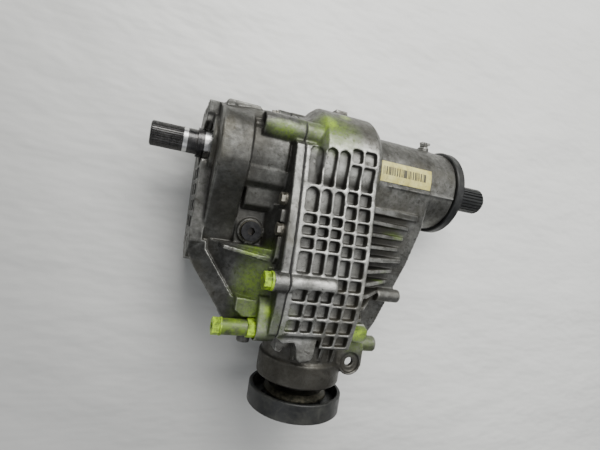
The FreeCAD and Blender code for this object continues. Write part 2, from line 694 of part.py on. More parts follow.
def make_gasket():
    """A thin gasket between the two castings, with every hole of the joint in it."""
    left = S.seam_x - S.gasket_thick
    thick = S.gasket_thick
    pieces = []
    cutters = []
    add_boss(pieces, "YZ_Plane", 0, 0, S.barrel_radius, left, thick)
    pad(pieces, "YZ_Plane", [flange_outline()], left, thick)
    for y, z in BARREL_SCREWS[1:]:
        add_boss(pieces, "YZ_Plane", y, z, 9, left, thick)
    add_boss(pieces, "YZ_Plane", *LONG_BOSS, 14, left, thick)
    add_boss(pieces, "YZ_Plane", LONG_BOLT_Y, S.roof_z - 4, 11, left, thick)
    add_boss(cutters, "YZ_Plane", 0, 0, 51, left - 1, thick + 2)
    clear = S.bolt_shank + 0.4
    pad(cutters, "YZ_Plane", [(y, z, clear) for y, z in SCREWS], left - 1, thick + 2)
    pad(cutters, "YZ_Plane", [(LONG_BOLT_Y, S.roof_z - 4, 5.4), (*BRACKET_BOLT, 5.4)], left - 1, thick + 2)
    pad(cutters, "YZ_Plane", [(y, z, 3.1) for y, z in DOWELS], left - 1, thick + 2)
    pad(cutters, "YZ_Plane", [OIL_PASSAGE], left - 1, thick + 2)
    solid = fused("gasket", pieces)
    hollow = fused("gasket_hollow", cutters)
    return keep(cut_out("gasket", solid, hollow), "cover_gasket")


# ---------------------------------------------------------------- fasteners, plugs and seals

def hexagon(y, z, across_flats):
    """Corners of a hexagon in a plane, round a centre."""
    reach = across_flats / math.sqrt(3)
    return [(y + reach * math.cos(math.radians(60 * i)), z + reach * math.sin(math.radians(60 * i)))
            for i in range(6)]


def flanged_bolt(y, z, seat_x, shank, flats, length):
    """A hex flange bolt that lies along +X, its flange's underside at seat_x."""
    body = new_body("bolt")
    pad(body, "YZ_Plane", [hexagon(y, z, flats)], seat_x - 0.6 * flats, 0.6 * flats)
    pad(body, "YZ_Plane", [(y, z, 0.62 * flats)], seat_x - 2.5, 2.5)
    pad(body, "YZ_Plane", [(y, z, shank)], seat_x, length)
    return body


def make_fasteners():
    joint = S.seam_x - S.gasket_thick
    shank = S.bolt_shank - 0.05
    screws = []
    for y, z in BARREL_SCREWS:
        screws.append(flanged_bolt(y, z, joint - 16, shank, 12, 36))
    for y, z in BLOCK_SCREWS:
        screws.append(flanged_bolt(y, z, joint - 10, shank, 12, 30))
    keep(fused("cover_screws", screws), "cover_screws")
    keep(flanged_bolt(LONG_BOLT_Y, S.roof_z - 4, joint - 17, 4.95, 17, 68), "long_bolt")
    # lower bracket bolt: head, sleeve, hex of the stud and its end in the boss
    y, z = BRACKET_BOLT
    stud = new_body("bracket_stud")
    pad(stud, "YZ_Plane", [hexagon(y, z, 19)], joint - 31, 11)
    pad(stud, "YZ_Plane", [(y, z, 4.95)], joint - 21, 38)
    pad(stud, "YZ_Plane", [(y, z, 4)], joint - 62, 32)
    keep(stud, "bracket_stud")
    ring_at("spacer_sleeve", y, z, joint - 59, joint - 31, 4.1, 9)
    nut = new_body("bracket_nut")
    pad(nut, "YZ_Plane", [hexagon(y, z, 17), (y, z, 4.02)], joint - 69, 8)
    pad(nut, "YZ_Plane", [(y, z, 10), (y, z, 4.02)], joint - 61, 2)
    keep(nut, "bracket_nut")
    pins = []
    for y, z in DOWELS:
        pin = new_body("dowel")
        pad(pin, "YZ_Plane", [(y, z, 2.95)], joint - 7.5, 19)
        pins.append(pin)
    keep(fused("dowel_pins", pins), "dowel_pins")


def ring_at(name, y, z, x0, x1, inner, outer):
    """A plain ring along X, off the main axes."""
    body = new_body(name)
    pad(body, "YZ_Plane", [(y, z, outer), (y, z, inner)], x0, x1 - x0)
    return keep(body, name)


def make_plugs():
    floor = S.pocket_floor + 4
    x, y = FILLER
    plug = new_body("filler_plug")
    pad(plug, "XY_Plane", [(x, y, 8.95)], floor - 16, 17.5)
    pad(plug, "XY_Plane", [(x, y, 11.5)], floor + 1.5, 5)
    cut(plug, "XY_Plane", [hexagon(x, y, 8)], floor + 0.5, 6)
    keep(plug, "filler_plug")
    washer = new_body("filler_washer")
    pad(washer, "XY_Plane", [(x, y, 12.5), (x, y, 9)], floor, 1.5)
    keep(washer, "filler_plug_washer")
    drain = new_body("drain_plug")
    pad(drain, "XY_Plane", [(*DRAIN, 6.95)], S.foot_z + 1, 16)
    cut(drain, "XY_Plane", [hexagon(*DRAIN, 8)], S.foot_z, 8)
    keep(drain, "drain_plug")
    x, z = BREATHER
    stem = new_body("vent")
    pad(stem, "XZ_Plane", [(x, z, 3.9)], -(S.tube_radius + 8), 20)
    pad(stem, "XZ_Plane", [hexagon(x, z, 10)], -(S.tube_radius + 5), 4)
    cap = new_body("vent_cap")
    pad(cap, "XZ_Plane", [[(x - 5, z - 3), (x + 8, z - 3), (x + 8, z + 3), (x - 5, z + 3)]],
        -(S.tube_radius + 8), 3)
    keep(fused("vent", [stem, cap]), "vent_fitting")


def make_label():
    """The label follows the tube, facing up."""
    inner = float(S.tube_radius)
    x0, length, low_y, width = 46.0, 74.0, -7.0, 25.0
    roll = Part.makeCylinder(inner + 0.5, length, V(x0, 0, 0), V(1, 0, 0))
    core = Part.makeCylinder(inner + 0.05, length + 2, V(x0 - 1, 0, 0), V(1, 0, 0))
    strip = Part.makeBox(length, width, inner + 10, V(x0, low_y, 0))
    return keep(shape_feature("barcode_label", roll.common(strip).cut(core)), "barcode_label")


def seal(name, face, back, inner, outer, axis="X"):
    """A lip seal: a metal case, open on its oil side, with its lip running on the shaft."""
    body = new_body(name)
    wall = 2.5 if back > face else -2.5
    thick = 2.5
    points = [(face, inner + 0.05), (back, inner + 0.05), (back, inner + thick), (face + wall, inner + thick),
              (face + wall, outer - thick), (back, outer - thick), (back, outer), (face, outer)]
    if axis == "Y":
        points = [(radius, along) for along, radius in points]
    spin(body, points, axis)
    return keep(body, name)


def make_seals():
    seal("left_output_seal", -153, -141, S.shaft_radius + 1, S.seal_bore)
    seal("right_output_seal", 160, 153.2, S.seal_seat, 40)
    seal("pinion_seal", -265.5, -253, S.flange_hub, S.tail_outer + 1, "Y")


# ---------------------------------------------------------------- straight bevel gears


class Bevel:
    """One straight bevel gear about +Z, its apex at the origin and its teeth towards the apex."""

    def __init__(self, teeth, mate_teeth, module, face, addendum, dedendum, backlash, pressure):
        self.teeth = teeth
        self.pitch_radius = module * teeth / 2.0
        self.pitch_angle = math.atan2(teeth, mate_teeth)
        self.cone = self.pitch_radius / math.sin(self.pitch_angle)
        self.inner_scale = (self.cone - face) / self.cone
        self.addendum = addendum * module
        self.dedendum = dedendum * module
        self.thickness = math.pi * module / 2.0 - backlash / 2.0
        self.pressure = math.radians(pressure)

    def point(self, across, out):
        """A point on the outer tooth section: across the tooth, and out from the pitch cone."""
        c = math.cos(self.pitch_angle)
        s = math.sin(self.pitch_angle)
        return V(self.cone * s + out * c, across, self.cone * c - out * s)

    def half_width(self, radius):
        """Half the tooth's width on the equivalent spur gear, at a radius."""
        pitch = self.pitch_radius / math.cos(self.pitch_angle)
        base = pitch * math.cos(self.pressure)
        involute = math.tan(self.pressure) - self.pressure
        angle = self.thickness / 2.0 / pitch + involute
        if radius > base:
            turn = math.acos(base / radius)
            angle -= math.tan(turn) - turn
        return radius * math.sin(angle), radius * math.cos(angle) - pitch

    def tooth(self):
        """One tooth, from its outer section down to its inner one, both seen from the apex."""
        pitch = self.pitch_radius / math.cos(self.pitch_angle)
        low = pitch - self.dedendum - 0.5
        high = pitch + self.addendum
        steps = 5
        side = [self.half_width(low + (high - low) * i / steps) for i in range(steps + 1)]
        outline = [self.point(-across, out) for across, out in side]
        outline += [self.point(across, out) for across, out in reversed(side)]
        sections = []
        for scale in (1.0, self.inner_scale):
            corners = [corner * scale for corner in outline]
            sections.append(Part.makePolygon(corners + [corners[0]]))
        return Part.makeLoft(sections, True, True)

    def teeth_shape(self, first_angle):
        """All the teeth, the first one at an angle from +X about +Z."""
        one = self.tooth()
        step = 360.0 / self.teeth
        ring_of_teeth = []
        for i in range(self.teeth):
            tooth = one.copy()
            tooth.rotate(V(0, 0, 0), V(0, 0, 1), first_angle + step * i)
            ring_of_teeth.append(tooth)
        return ring_of_teeth

    def root(self, scale, sink=0.0):
        """(radius, height) of the root cone at the outer (1.0) or inner end, sunk below the back cone."""
        corner = self.point(0, -self.dedendum - sink) * scale
        return corner.x, corner.z


def turned_about_z(points):
    """A solid turned about Z from (radius, height) corners."""
    wire = Part.makePolygon([V(r, 0, z) for r, z in points + points[:1]])
    return Part.Face(wire).revolve(V(0, 0, 0), V(0, 0, 1), 360)


def bevel_solid(gear, back, bore, first_angle):
    """Blank and teeth in one solid; the blank's back corners are (radius, height)."""
    outer = gear.root(1.0)
    inner = gear.root(gear.inner_scale)
    blank = turned_about_z([(bore, inner[1]), inner, outer] + back)
    return blank.multiFuse(gear.teeth_shape(first_angle))


def drive_gears():
    """The crown gear and pinion of the final drive, before they are placed."""
    crown = int(float(S.crown_teeth))
    pinion = int(float(S.pinion_teeth))
    module = float(S.drive_module)
    face = float(S.drive_face)
    slack = float(S.drive_backlash)
    pressure = float(S.drive_pressure)
    big = Bevel(crown, pinion, module, face, 0.6, 1.25, slack, pressure)
    small = Bevel(pinion, crown, module, face, 1.05, 0.8, slack, pressure)
    return big, small


def side_gears():
    """A side gear and a spider gear of the differential, before they are placed."""
    side = int(float(S.side_teeth))
    spider = int(float(S.spider_teeth))
    module = float(S.side_module)
    face = float(S.side_face)
    slack = float(S.side_backlash)
    pressure = float(S.drive_pressure)
    big = Bevel(side, spider, module, face, 0.7, 1.1, slack, pressure)
    small = Bevel(spider, side, module, face, 0.9, 0.9, slack, pressure)
    return big, small


def aimed(shape, direction, apex_x=0.0):
    """A gear made about +Z, turned so that its axis points along a row axis, its apex on the X axis."""
    turns = {"+X": (V(0, 1, 0), 90), "-X": (V(0, 1, 0), -90), "-Y": (V(1, 0, 0), 90),
             "+Z": (V(0, 0, 1), 0), "-Z": (V(1, 0, 0), 180)}
    axis, angle = turns[direction]
    shape.rotate(V(0, 0, 0), axis, angle)
    shape.translate(V(apex_x, 0, 0))
    return shape


CROWN_BACK = 30.0
CROWN_BORE = 36.0
CROWN_SCREWS = 10
CROWN_CIRCLE = 50.5
CASE_FLANGE = 6.0
SIDE_BACK = 24.0
SPIDER_BACK = 31.0


def screw_holes(radius, low, high, hole):
    """Holes parallel to X, in a circle round it."""
    holes = []
    for i in range(CROWN_SCREWS):
        angle = math.radians(360.0 / CROWN_SCREWS * i)
        start = V(low, radius * math.cos(angle), radius * math.sin(angle))
        holes.append(Part.makeCylinder(hole, high - low, start, V(1, 0, 0)))
    return holes


def make_gears():
    big, small = drive_gears()
    # the crown gear has a gap, and the pinion a tooth, where they meet
    outline = [(big.root(1.0, 2.0)[0], CROWN_BACK - 5), (56.0, CROWN_BACK), (CROWN_BORE, CROWN_BACK)]
    crown = aimed(bevel_solid(big, outline, CROWN_BORE, 270 + 180.0 / big.teeth), "+X")
    crown = crown.cut(Part.makeCompound(screw_holes(CROWN_CIRCLE, CROWN_BACK - 8, CROWN_BACK + 1, 3.45)))
    keep(shape_feature("crown_gear", crown), "crown_gear")

    head = float(S.head_y) + float(S.head_width)
    root_out = small.root(1.0, 0.5)
    outline = [(18.5, root_out[1] + 1.2), (18.5, 60.5), (22.0, 60.5), (22.0, -head), (0, -head)]
    pinion = aimed(bevel_solid(small, outline, 0.0, 0), "-Y")
    stem = pinion_stem()
    keep(shape_feature("pinion_shaft", pinion.fuse(stem)), "pinion_shaft")

    big, small = side_gears()
    apex = float(S.spider_x)
    bore = float(S.shaft_radius)
    for name, direction in (("left_side_gear", "-X"), ("right_side_gear", "+X")):
        outline = [(28.0, SIDE_BACK - 3), (28.0, SIDE_BACK), (20.95, SIDE_BACK), (20.95, SIDE_BACK + 6),
                   (bore, SIDE_BACK + 6)]
        gear = bevel_solid(big, outline, bore, 180.0 / big.teeth)
        keep(shape_feature(name, aimed(gear, direction, apex)), name)
    pin = float(S.cross_pin) + 0.05
    for name, direction in (("upper_spider_gear", "+Z"), ("lower_spider_gear", "-Z")):
        outline = [(19.0, small.root(1.0)[1] + 2), (18.0, SPIDER_BACK), (pin, SPIDER_BACK)]
        gear = bevel_solid(small, outline, pin, 0)
        keep(shape_feature(name, aimed(gear, direction, apex)), name)


def pinion_stem():
    """The pinion's shaft from its head towards the flange: two seats, a spline core and a threaded end."""
    steps = [(S.head_bore, S.head_y + S.head_width, S.head_y), (16.0, S.head_y, S.tail_y + S.tail_width + 24),
             (S.tail_bore, S.tail_y + S.tail_width + 24, -258), (12.0, -258, -308)]
    corners = []
    for radius, near, far in steps:
        corners += [(float(radius), -float(near)), (float(radius), -float(far))]
    stem = turned_about_z([(0, corners[0][1])] + corners + [(0, corners[-1][1])])
    return aimed(stem, "-Y")


# ---------------------------------------------------------------- differential case


def make_case():
    """One-piece case: hubs for the bearings, a flange for the crown gear, and a windowed gear chamber."""
    pieces = []
    cutters = []
    left = S.left_bearing_x
    right = S.right_bearing_x
    wide = S.carrier_width
    bore = S.carrier_bore
    apex = S.spider_x
    wall = SIDE_BACK + 1.5
    spin(pieces, [(left, 0), (left, bore), (left + wide, bore), (left + wide, 25), (-12, 25), (20, 30),
                  (20, CROWN_BORE), (CROWN_BACK, CROWN_BORE), (CROWN_BACK, 56), (CROWN_BACK + CASE_FLANGE, 56),
                  (CROWN_BACK + CASE_FLANGE, 45), (86, 45), (98, 34), (98, 26), (right, 26), (right, bore),
                  (right + wide, bore), (right + wide, 0)])
    run = S.shaft_radius + 0.5
    spin(cutters, [(left - 1, 0), (left - 1, run), (apex - wall - 6, run), (apex - wall - 6, 21.05),
                   (apex - wall, 21.05), (apex - wall, 31), (apex + wall, 31), (apex + wall, 21.05),
                   (apex + wall + 6, 21.05), (apex + wall + 6, run), (right + wide + 1, run),
                   (right + wide + 1, 0)])
    seat = SPIDER_BACK + 1.4
    pad(cutters, "XY_Plane", [(apex, 0, 22.6)], -seat, 2 * seat)
    pad(cutters, "XY_Plane", [(apex, 0, S.cross_pin)], -50, 100)
    # assembly windows, on both sides between the spider gears
    pad(cutters, "XZ_Plane", [[(46, -23), (86, -23), (86, 23), (46, 23)]], -50, 100)
    pad(cutters, "YZ_Plane", [(0, 39.5, 2.5)], 50, 50)
    cutters.append(shape_feature("flange_holes", Part.makeCompound(
        screw_holes(CROWN_CIRCLE, CROWN_BACK - 1, CROWN_BACK + 9, 3.45))))
    solid = fused("case", pieces)
    hollow = fused("case_hollow", cutters)
    keep(cut_out("case", solid, hollow), "differential_case")


def make_case_parts():
    apex = S.spider_x
    pin = new_body("cross_pin")
    pad(pin, "XY_Plane", [(apex, 0, S.cross_pin)], -45, 90)
    cut(pin, "YZ_Plane", [(0, 39.5, 2.5)], 50, 30)
    keep(pin, "cross_pin")
    lock = new_body("lock_pin")
    pad(lock, "YZ_Plane", [(0, 39.5, 2.5)], 52, 38)
    keep(lock, "lock_pin")
    screws = []
    for i in range(CROWN_SCREWS):
        angle = math.radians(360.0 / CROWN_SCREWS * i)
        y = CROWN_CIRCLE * math.cos(angle)
        z = CROWN_CIRCLE * math.sin(angle)
        screw = new_body("crown_screw")
        pad(screw, "YZ_Plane", [(y, z, 3.4)], CROWN_BACK - 7, CASE_FLANGE + 8)
        pad(screw, "YZ_Plane", [hexagon(y, z, 9)], CROWN_BACK + CASE_FLANGE, 4)
        screws.append(screw)
    keep(fused("crown_screws", screws), "crown_gear_screws")
    ring("left_thrust_washer", apex - SIDE_BACK - 1.45, apex - SIDE_BACK - 0.05, 21.1, 29)
    ring("right_thrust_washer", apex + SIDE_BACK + 0.05, apex + SIDE_BACK + 1.45, 21.1, 29)
    washers = []
    for low in (SPIDER_BACK + 0.05, -SPIDER_BACK - 1.35):
        washer = new_body("spider_washer")
        pad(washer, "XY_Plane", [(apex, 0, 18), (apex, 0, S.cross_pin + 0.1)], low, 1.3)
        washers.append(washer)
    keep(fused("spider_washers", washers), "spider_washers")


# ---------------------------------------------------------------- bearings

ROLLER_HALF = 2.0
ROLLER_TILT = 13.0
RACE_GAP = 0.06


def cone_radius(along, angle):
    return along * math.tan(math.radians(angle))


def tapered_bearing(prefix, bore, outer, width, at, axis, wide_end, count):
    """Races, rollers and cage; made about +Z with the rollers' common apex below, then placed.

    The bearing fills heights 0 to width; wide_end says which end the large ends of the rollers
    face: +1 for the far end along the axis, -1 for the near end.
    """
    bore = float(bore)
    outer = float(outer)
    width = float(width)
    middle = (bore + outer) / 2.0
    apex = middle / math.tan(math.radians(ROLLER_TILT))
    low = apex - width / 2.0
    gap = RACE_GAP
    inner_angle = ROLLER_TILT - ROLLER_HALF
    outer_angle = ROLLER_TILT + ROLLER_HALF
    trim = 1.5
    inner = turned_about_z([(bore, low), (cone_radius(low, inner_angle) - gap, low),
                            (cone_radius(low + width, inner_angle) - gap, low + width), (bore, low + width)])
    cup = turned_about_z([(cone_radius(low, outer_angle) + gap, low), (outer, low), (outer, low + width),
                          (cone_radius(low + width, outer_angle) + gap, low + width)])
    slant = math.radians(ROLLER_TILT)
    near = (low + trim + 1) / math.cos(slant)
    far = (low + width - trim - 1) / math.cos(slant)

    def cone(extra, over):
        """A roller, or a slightly larger one that clears its pocket in the cage."""
        taper = math.tan(math.radians(ROLLER_HALF))
        body = Part.makeCone((near - over) * taper + extra, (far + over) * taper + extra,
                             far - near + 2 * over, V(0, 0, near - over), V(0, 0, 1))
        body.rotate(V(0, 0, 0), V(0, 1, 0), ROLLER_TILT)
        return body

    rollers = []
    pockets = []
    for i in range(count):
        for store, extra, over in ((rollers, 0.0, 0.0), (pockets, 0.3, 0.3)):
            copy = cone(extra, over)
            copy.rotate(V(0, 0, 0), V(0, 0, 1), 360.0 / count * i)
            store.append(copy)
    thin = 0.8
    band = turned_about_z([(cone_radius(low + trim, ROLLER_TILT) - thin, low + trim - 0.8),
                           (cone_radius(low + trim, ROLLER_TILT) + thin, low + trim - 0.8),
                           (cone_radius(low + width - trim, ROLLER_TILT) + thin, low + width - trim + 0.8),
                           (cone_radius(low + width - trim, ROLLER_TILT) - thin, low + width - trim + 0.8)])
    cage = band.cut(Part.makeCompound(pockets))
    made = {"inner_race": inner, "outer_race": cup, "rollers": Part.makeCompound(rollers), "cage": cage}
    for kind, shape in made.items():
        shape.translate(V(0, 0, -low))
        if wide_end < 0:
            shape.rotate(V(0, 0, width / 2.0), V(1, 0, 0), 180)
        if axis == "X":
            shape.rotate(V(0, 0, 0), V(0, 1, 0), 90)
            shape.translate(V(float(at), 0, 0))
        else:
            shape.rotate(V(0, 0, 0), V(1, 0, 0), -90)
            shape.translate(V(0, float(at), 0))
        keep(shape_feature(prefix + "_" + kind, shape), prefix + "_" + kind)


def make_tapered_bearings():
    tapered_bearing("left_carrier", S.carrier_bore, S.carrier_outer, S.carrier_width, S.left_bearing_x,
                    "X", 1, 16)
    tapered_bearing("right_carrier", S.carrier_bore, S.carrier_outer, S.carrier_width, S.right_bearing_x,
                    "X", -1, 16)
    tapered_bearing("pinion_head", S.head_bore, S.head_outer, S.head_width, S.head_y, "Y", 1, 15)
    tapered_bearing("pinion_tail", S.tail_bore, S.tail_outer, S.tail_width, S.tail_y, "Y", -1, 14)


def make_ball_bearing():
    """The bearing that holds the long output shaft near the end of the tube."""
    x0 = 137.0
    width = 14.0
    middle = x0 + width / 2
    track = 30.0
    ball = 5.5
    groove = Part.makeTorus(track, ball + 0.06, V(middle, 0, 0), V(1, 0, 0))
    parts = {"inner_race": (float(S.seal_seat), 26.4), "outer_race": (33.6, 40.0)}
    for name, (small, large) in parts.items():
        tube = Part.makeCylinder(large, width, V(x0, 0, 0), V(1, 0, 0))
        tube = tube.cut(Part.makeCylinder(small, width, V(x0, 0, 0), V(1, 0, 0)))
        keep(shape_feature("output_bearing_" + name, tube.cut(groove)), "output_bearing_" + name)
    balls = []
    sockets = []
    count = 12
    for i in range(count):
        angle = math.radians(360.0 / count * i)
        centre = V(middle, track * math.cos(angle), track * math.sin(angle))
        balls.append(Part.makeSphere(ball, centre))
        sockets.append(Part.makeSphere(ball + 0.25, centre))
    keep(shape_feature("output_bearing_balls", Part.makeCompound(balls)), "output_bearing_balls")
    band = Part.makeCylinder(31.2, 13, V(middle - 6.5, 0, 0), V(1, 0, 0))
    band = band.cut(Part.makeCylinder(28.8, 13, V(middle - 6.5, 0, 0), V(1, 0, 0)))
    cage = band.cut(Part.makeCompound(sockets))
    keep(shape_feature("output_bearing_cage", cage), "output_bearing_cage")


# ---------------------------------------------------------------- shafts and flange


def splined_end(body, teeth, tip_x, base_x, outer):
    """Cut a ring of grooves between spline teeth, from a shaft's tip to the spline's end."""
    half = math.pi / float(teeth) * 0.42
    inner = float(outer) - (1.1 if float(outer) < 16 else 2.0)
    over = float(outer) + 1
    groove = [(inner * math.cos(half * 0.55), -inner * math.sin(half * 0.55)),
              (over * math.cos(half), -over * math.sin(half)),
              (over * math.cos(half), over * math.sin(half)),
              (inner * math.cos(half * 0.55), inner * math.sin(half * 0.55))]
    low = tip_x if float(tip_x) < float(base_x) else base_x
    length = base_x - tip_x if float(tip_x) < float(base_x) else tip_x - base_x
    feature = cut(body, "YZ_Plane", [groove], low, length)
    repeat_round(body, feature, "X_Axis", teeth)


def make_left_shaft():
    tip = S.stub_tip
    spline = S.stub_spline
    core = S.shaft_radius
    body = new_body("left_shaft")
    spin(body, [(tip, 0), (tip, spline - 1.5), (tip + 1.5, spline), (S.stub_spline_end, spline),
                (S.stub_spline_end + 1, 14.25), (-169, 14.25), (-169, 17), (-153.5, 17), (-153.5, core + 1),
                (-130, core + 1), (-129, core), (53.6, core), (53.6, 13.6), (55.2, 13.6), (55.2, core),
                (56.6, core - 1), (56.6, 0)])
    splined_end(body, S.left_teeth, tip - 1, S.stub_spline_end, spline)
    keep(body, "left_output_shaft")
    ring("left_circlip", 53.65, 55.15, 13.6, 17)


def make_right_shaft():
    tip = S.right_tip
    spline = S.right_spline
    core = S.shaft_radius
    seat = S.seal_seat
    body = new_body("right_shaft")
    spin(body, [(75.4, 0), (75.4, core - 1), (76.8, core), (76.8, 13.6), (78.4, 13.6), (78.4, core),
                (134, core), (135, seat), (176, seat), (178, spline), (tip - 4, spline), (tip, spline - 3.5),
                (tip, 0)])
    splined_end(body, S.right_teeth, tip + 1, S.right_spline_start, spline)
    keep(body, "right_output_shaft")
    ring("right_circlip", 76.85, 78.35, 13.6, 17)
    # dust ring that turns with the shaft, just clear of the tube's end
    dust = new_body("dust")
    spin(dust, [(172, seat), (172, 57.5), (163, 57.5), (161.6, 56.5), (161.6, 50), (168, 50), (168, 26),
                (163.5, 26), (163.5, seat)])
    keep(dust, "dust_ring")
    ring("output_bearing_circlip", 151.1, 152.9, 35.5, 42)


def make_flange():
    """The companion flange: a hub on the pinion's spline, a disc, and a deep rim towards the casing."""
    rim = S.flange_rim_y
    face = S.flange_face_y
    edge = S.flange_radius
    hub = S.flange_hub
    body = new_body("flange")
    seat = face + 14
    spin(body, [(12.05, seat), (12.05, -258.5), (15.05, -258), (15.05, S.tail_y - 0.1), (hub, S.tail_y - 0.1),
                (hub, seat + 3), (44, seat - 1), (54, seat - 4), (55.5, rim), (edge - 1, rim), (edge, rim - 1),
                (edge, face + 1.5), (edge - 1.5, face), (48, face), (46, S.bolt_circle_y),
                (24, S.bolt_circle_y), (22, seat - 4), (20, seat)], "Y")
    holes = cut(body, "XZ_Plane", [(39, 0, 5.25)], 286, 26)
    repeat_round(body, holes, "Y_Axis", 6)
    keep(body, "companion_flange")
    dish = new_body("deflector")
    spin(dish, [(hub, -281), (hub, -288), (hub + 1.5, -288), (hub + 1.5, -283.2), (34, -284.2), (39, -288),
                (41, -288), (40.5, -286), (35, -281.5)], "Y")
    keep(dish, "dust_deflector")
    nut = new_body("nut")
    pad(nut, "XZ_Plane", [hexagon(0, 0, 34), (0, 0, 12)], -(face + 13.95), 10)
    keep(nut, "pinion_nut")
    ring("collapsible_spacer", S.tail_y + S.tail_width + 0.05, S.head_y - 0.05, 16.2, 19, "Y")


def placed(shape):
    """The shape with the middle of the flange's bolt circle at the origin."""
    moved = shape.copy()
    moved.translate(V(0, -float(S.bolt_circle_y), 0))
    return moved


def check_and_write():
    """Refuse any failed object or broken shape, then write one file per sub-part."""
    failed = [item.Name for item in doc.Objects if "Invalid" in item.State or "Error" in item.State]
    if failed:
        raise RuntimeError("failed objects: %s" % failed)
    for item in doc.Objects:
        if item.TypeId in ("PartDesign::Pocket", "PartDesign::Groove"):
            if not item.Shape.Volume < item.BaseFeature.Shape.Volume:
                raise RuntimeError("%s removes nothing" % item.Name)
    for name, item in subparts.items():
        if item.Shape.isNull() or not item.Shape.isValid() or not item.Shape.Solids:
            raise RuntimeError("%s has no good solid" % name)
    os.makedirs("parts", exist_ok=True)
    for name, item in subparts.items():
        placed(item.Shape).exportStep("parts/%s.step" % name)
        print("%-28s %2d solids %9.0f mm3" % (name, len(item.Shape.Solids), item.Shape.Volume))


def main():
    make_casing()
    make_cover()
    make_gasket()
    make_fasteners()
    make_plugs()
    make_label()
    make_seals()
    make_gears()
    make_case()
    make_case_parts()
    make_tapered_bearings()
    make_ball_bearing()
    make_left_shaft()
    make_right_shaft()
    make_flange()
    doc.recompute()
    check_and_write()


main()
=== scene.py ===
"""Looks of the differential gear assembly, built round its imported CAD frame. All lengths are in metres."""

import json

import bpy
from mathutils import Matrix, Vector


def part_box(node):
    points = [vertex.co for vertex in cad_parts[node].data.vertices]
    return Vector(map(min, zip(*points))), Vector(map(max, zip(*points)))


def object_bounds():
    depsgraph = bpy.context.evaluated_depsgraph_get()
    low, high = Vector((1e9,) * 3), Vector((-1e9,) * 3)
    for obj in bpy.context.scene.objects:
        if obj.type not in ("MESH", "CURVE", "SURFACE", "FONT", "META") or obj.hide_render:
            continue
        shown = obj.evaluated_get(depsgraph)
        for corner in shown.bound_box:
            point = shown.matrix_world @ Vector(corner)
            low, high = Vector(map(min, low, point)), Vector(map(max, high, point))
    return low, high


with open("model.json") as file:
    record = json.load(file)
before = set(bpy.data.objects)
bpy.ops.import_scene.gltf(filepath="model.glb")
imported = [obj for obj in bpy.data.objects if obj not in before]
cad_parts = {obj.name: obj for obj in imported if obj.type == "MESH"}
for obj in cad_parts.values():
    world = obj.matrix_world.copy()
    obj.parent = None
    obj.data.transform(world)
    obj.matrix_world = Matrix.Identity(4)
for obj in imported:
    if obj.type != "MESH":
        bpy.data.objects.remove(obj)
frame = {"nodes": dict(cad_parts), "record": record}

CAD_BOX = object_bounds()


def crossing():
    """Where the output shafts' axis meets the pinion's axis. The looks are laid out from there."""
    joints = {joint["name"]: joint for joint in frame["record"]["behaviour"]["joints"]}
    return Vector(joints["carrier_spin"]["pos_m"])


CROSS = crossing()


# ---------------------------------------------------------------- camera, floor and lights


def make_camera():
    """A wide lens close above the object, about twenty degrees off straight down."""
    data = bpy.data.cameras.new("camera")
    data.sensor_width = 36
    data.lens = 23.4
    camera = bpy.data.objects.new("camera", data)
    bpy.context.scene.collection.objects.link(camera)
    forward = Vector((0.3420, 0.0, -0.9397)).normalized()
    up = Vector((-0.1470, 0.9877, -0.0535))
    right = forward.cross(up).normalized()
    up = right.cross(forward)
    turn = Matrix((right, up, -forward)).transposed()
    place = CROSS + Vector((-0.1984, -0.0761, 0.4698))
    camera.matrix_world = Matrix.Translation(place) @ turn.to_4x4()
    bpy.context.scene.camera = camera


def make_floor():
    low, high = CAD_BOX
    bpy.ops.mesh.primitive_plane_add(size=6, location=((low.x + high.x) / 2, (low.y + high.y) / 2, low.z))
    floor = bpy.context.object
    floor.name = "floor"
    g = Graph("floor_sheet")
    wide = g.noise(2.2, 2, 0.5)
    tone = g.ramp(wide, [(0.3, (0.84, 0.845, 0.81)), (0.7, (0.92, 0.925, 0.89))])
    # painted shade: the sheet is darkened towards the near left corner, standing for light that falls off
    # there
    shade_slant = g.math("ADD", g.axis("X"), g.math("MULTIPLY", g.axis("Y"), 0.9))
    tone = g.mix(g.span(shade_slant, -0.1, -0.75, 0.0, 0.75), tone, (0.40, 0.40, 0.39))
    g.feed("Base Color", tone)
    creases = g.noise(3.5, 4, 0.55, stretch=(1, 2.2, 1))
    g.feed("Roughness", g.span(creases, 0.3, 0.7, 0.38, 0.55))
    g.bump((creases, 0.9, 0.02), (g.noise(220, 2, 0.5), 0.12, 0.001))
    floor.data.materials.append(g.material)


def add_lamp(name, place, aim, size, power, colour=(1, 1, 1)):
    data = bpy.data.lights.new(name, "AREA")
    data.shape = "RECTANGLE"
    data.size, data.size_y = size
    data.energy = power
    data.color = colour
    lamp = bpy.data.objects.new(name, data)
    bpy.context.scene.collection.objects.link(lamp)
    lamp.location = CROSS + Vector(place)
    lamp.rotation_euler = (Vector(aim) - Vector(place)).to_track_quat("-Z", "Y").to_euler()


def make_lights():
    world = bpy.data.worlds.new("soft_room")
    bpy.context.scene.world = world
    world.use_nodes = True
    sky = world.node_tree.nodes["Background"]
    sky.inputs["Color"].default_value = (0.86, 0.88, 0.92, 1)
    sky.inputs["Strength"].default_value = 0.33
    middle = (0.02, -0.07, 0)
    add_lamp("window", (0.15, 1.05, 1.15), middle, (1.3, 0.8), 31, (1.0, 0.99, 0.97))
    add_lamp("ceiling", (0.45, 0.1, 1.4), middle, (1.0, 1.0), 9)
    add_lamp("fill", (-0.9, -1.2, 0.9), middle, (1.2, 0.8), 3, (0.95, 0.97, 1.0))


# ---------------------------------------------------------------- materials


